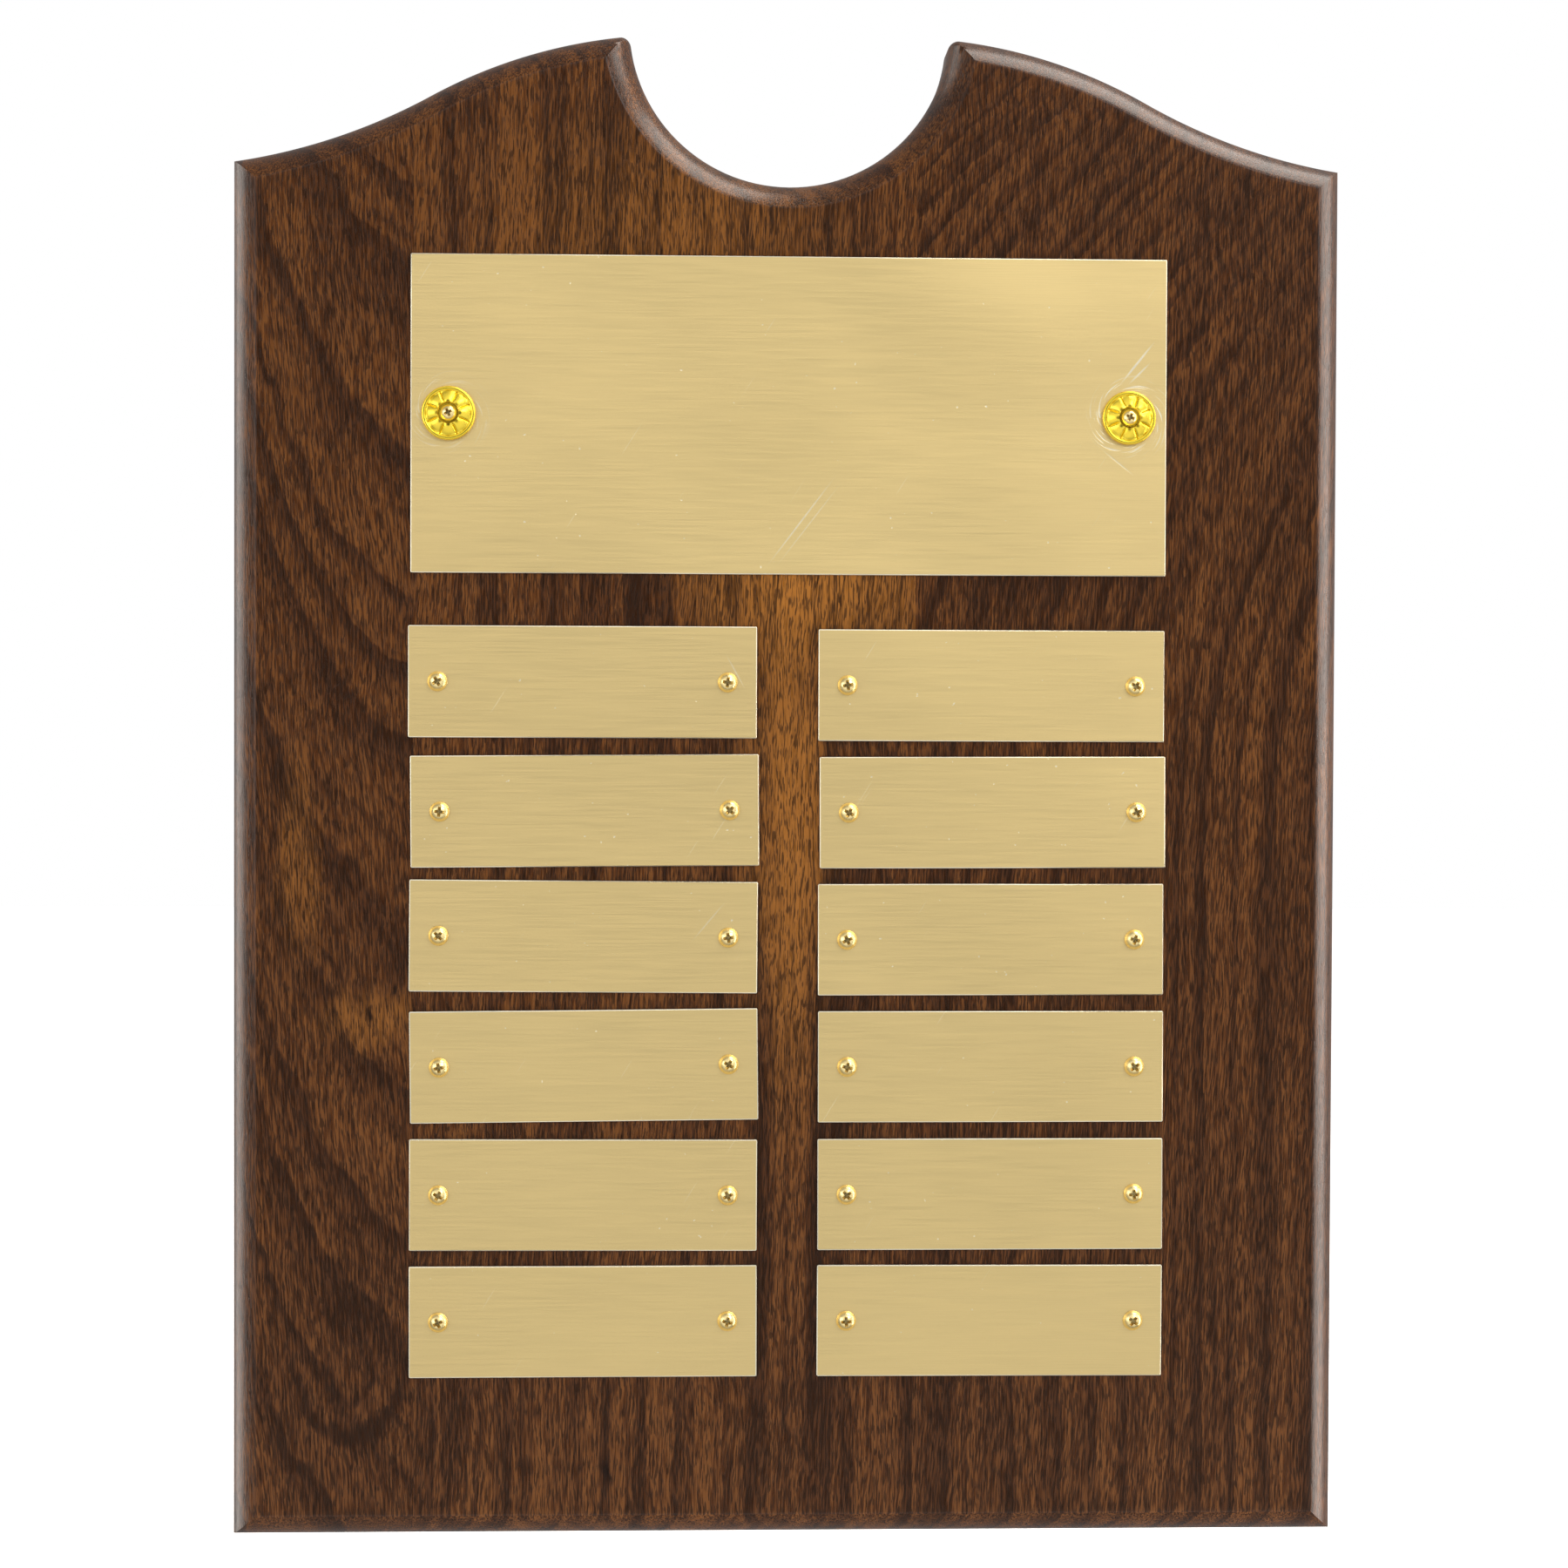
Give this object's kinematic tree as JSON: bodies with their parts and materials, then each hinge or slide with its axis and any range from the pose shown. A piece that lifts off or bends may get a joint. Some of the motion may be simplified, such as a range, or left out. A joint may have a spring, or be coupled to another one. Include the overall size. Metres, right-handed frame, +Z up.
{
  "type": "wall plaque",
  "caption": "Walnut wall plaque with a notched, horned top, routed edge, brass header plate on rosettes and screwed brass name plates; keyhole slot in the back.",
  "frame": {"origin": "middle of the flat back, on the wall", "axes": "+Z up, front face towards -Y, +X to the right seen from the front"},
  "size_m": [0.225, 0.0218, 0.3048],
  "materials": {
    "walnut": "satin lacquer",
    "brass_sheet": "satin, brushed sideways",
    "brass_rosette": "bright, pressed",
    "brass_screw": "bright"
  },
  "bodies": {
    "root": {"board_left": "walnut", "board_centre": "walnut", "board_right": "walnut", "header_plate": "brass_sheet", "name_plate_left_1": "brass_sheet", "name_plate_left_2": "brass_sheet", "name_plate_left_3": "brass_sheet", "name_plate_left_4": "brass_sheet", "name_plate_left_5": "brass_sheet", "name_plate_left_6": "brass_sheet", "name_plate_right_1": "brass_sheet", "name_plate_right_2": "brass_sheet", "name_plate_right_3": "brass_sheet", "name_plate_right_4": "brass_sheet", "name_plate_right_5": "brass_sheet", "name_plate_right_6": "brass_sheet", "left_column_screws": "brass_screw", "right_column_screws": "brass_screw", "rosette_screws": "brass_screw", "rosette_left": "brass_rosette", "rosette_right": "brass_rosette"}
  },
  "joints": []
}
